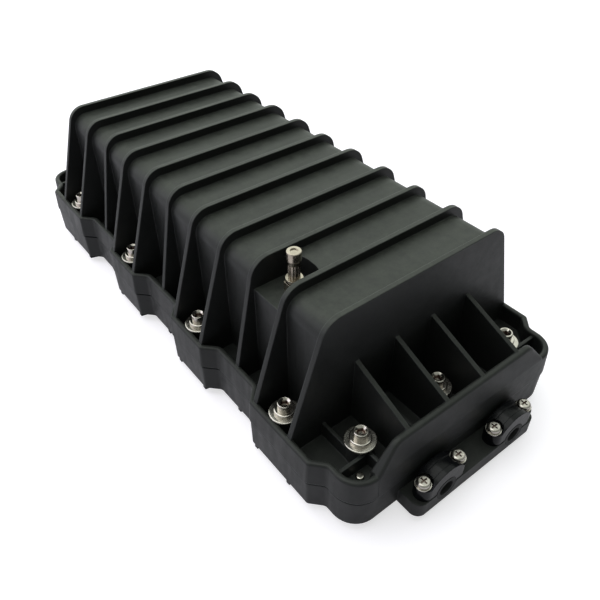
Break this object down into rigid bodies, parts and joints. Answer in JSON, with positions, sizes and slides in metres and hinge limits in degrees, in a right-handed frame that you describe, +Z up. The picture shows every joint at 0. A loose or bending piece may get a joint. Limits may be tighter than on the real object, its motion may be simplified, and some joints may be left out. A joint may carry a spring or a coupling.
{
  "type": "horizontal fibre splice closure",
  "caption": "Black ribbed fibre splice closure: domed cover bolted to a shallow base, saddle-clamped cable ports at both ends, a test valve, and hinged splice trays inside.",
  "frame": {"origin": "centre of the underside, on the plane the base stands on", "axes": "+X along the length to the end nearest the camera in the picture, +Y across the width, +Z up through the cover"},
  "size_m": [0.509, 0.2172, 0.145],
  "materials": {
    "shell_plastic": "satin moulded black polypropylene",
    "saddle_plastic": "glossy black nylon",
    "seal_rubber": "soft matt silicone",
    "grommet_rubber": "matt grey-black rubber",
    "insert_brass": "turned brass",
    "bolt_steel": "stainless steel",
    "washer_steel": "stamped stainless steel",
    "screw_nickel": "nickel plated",
    "valve_nickel": "nickel plated brass",
    "bracket_steel": "zinc plated sheet",
    "tray_plastic": "off-white moulded plastic",
    "comb_plastic": "blue soft plastic",
    "clear_lid": "clear polycarbonate sheet"
  },
  "bodies": {
    "base": {"base_shell": "shell_plastic", "seal_gasket": "seal_rubber", "threaded_inserts": "insert_brass", "cable_grommets": "grommet_rubber", "port_seals": "seal_rubber", "clamp_saddles": "saddle_plastic", "saddle_washers": "washer_steel", "saddle_screws": "screw_nickel", "tray_bracket": "bracket_steel", "bracket_screws": "screw_nickel", "tray_pillars": "insert_brass", "hinge_pins": "bolt_steel", "tray_lower": "tray_plastic", "comb_lower": "comb_plastic", "strength_clamps": "bracket_steel", "strength_screws": "screw_nickel"},
    "cover": {"cover_shell": "shell_plastic", "cover_bolts": "bolt_steel", "bolt_collars": "bolt_steel", "bolt_washers": "washer_steel", "lobe_screws": "bolt_steel", "valve_body": "valve_nickel", "valve_nut": "valve_nickel", "valve_seal": "seal_rubber"},
    "middle_tray": {"tray_middle": "tray_plastic", "comb_middle": "comb_plastic"},
    "upper_tray": {"tray_upper": "tray_plastic", "comb_upper": "comb_plastic", "tray_lid": "clear_lid"},
    "cap": {"valve_cap": "valve_nickel", "valve_cap_seal": "seal_rubber"},
    "core": {"valve_core_pin": "insert_brass"}
  },
  "joints": [
    {"name": "cover_lift", "type": "slide", "parent": "base", "child": "cover", "axis": [0, 0, 1], "range_m": [0, 0.32]},
    {"name": "middle_tray_hinge", "type": "hinge", "parent": "base", "child": "middle_tray", "pos_m": [-0.14, 0, 0.066], "axis": [0, -1, 0], "range_deg": [0, 40]},
    {"name": "upper_tray_hinge", "type": "hinge", "parent": "base", "child": "upper_tray", "pos_m": [-0.14, 0, 0.088], "axis": [0, -1, 0], "range_deg": [0, 60]},
    {"name": "valve_cap_lift", "type": "slide", "parent": "cover", "child": "cap", "axis": [0, 0, 1], "range_m": [0, 0.03]},
    {"name": "valve_core_press", "type": "slide", "parent": "cover", "child": "core", "axis": [0, 0, 1], "range_m": [-0.0015, 0], "stiffness_N_per_m": 500}
  ],
  "couplings": [
    {"joint": "middle_tray_hinge", "follows": "cover_lift", "rad_per_m": 2.05},
    {"joint": "upper_tray_hinge", "follows": "cover_lift", "rad_per_m": 3.2}
  ]
}
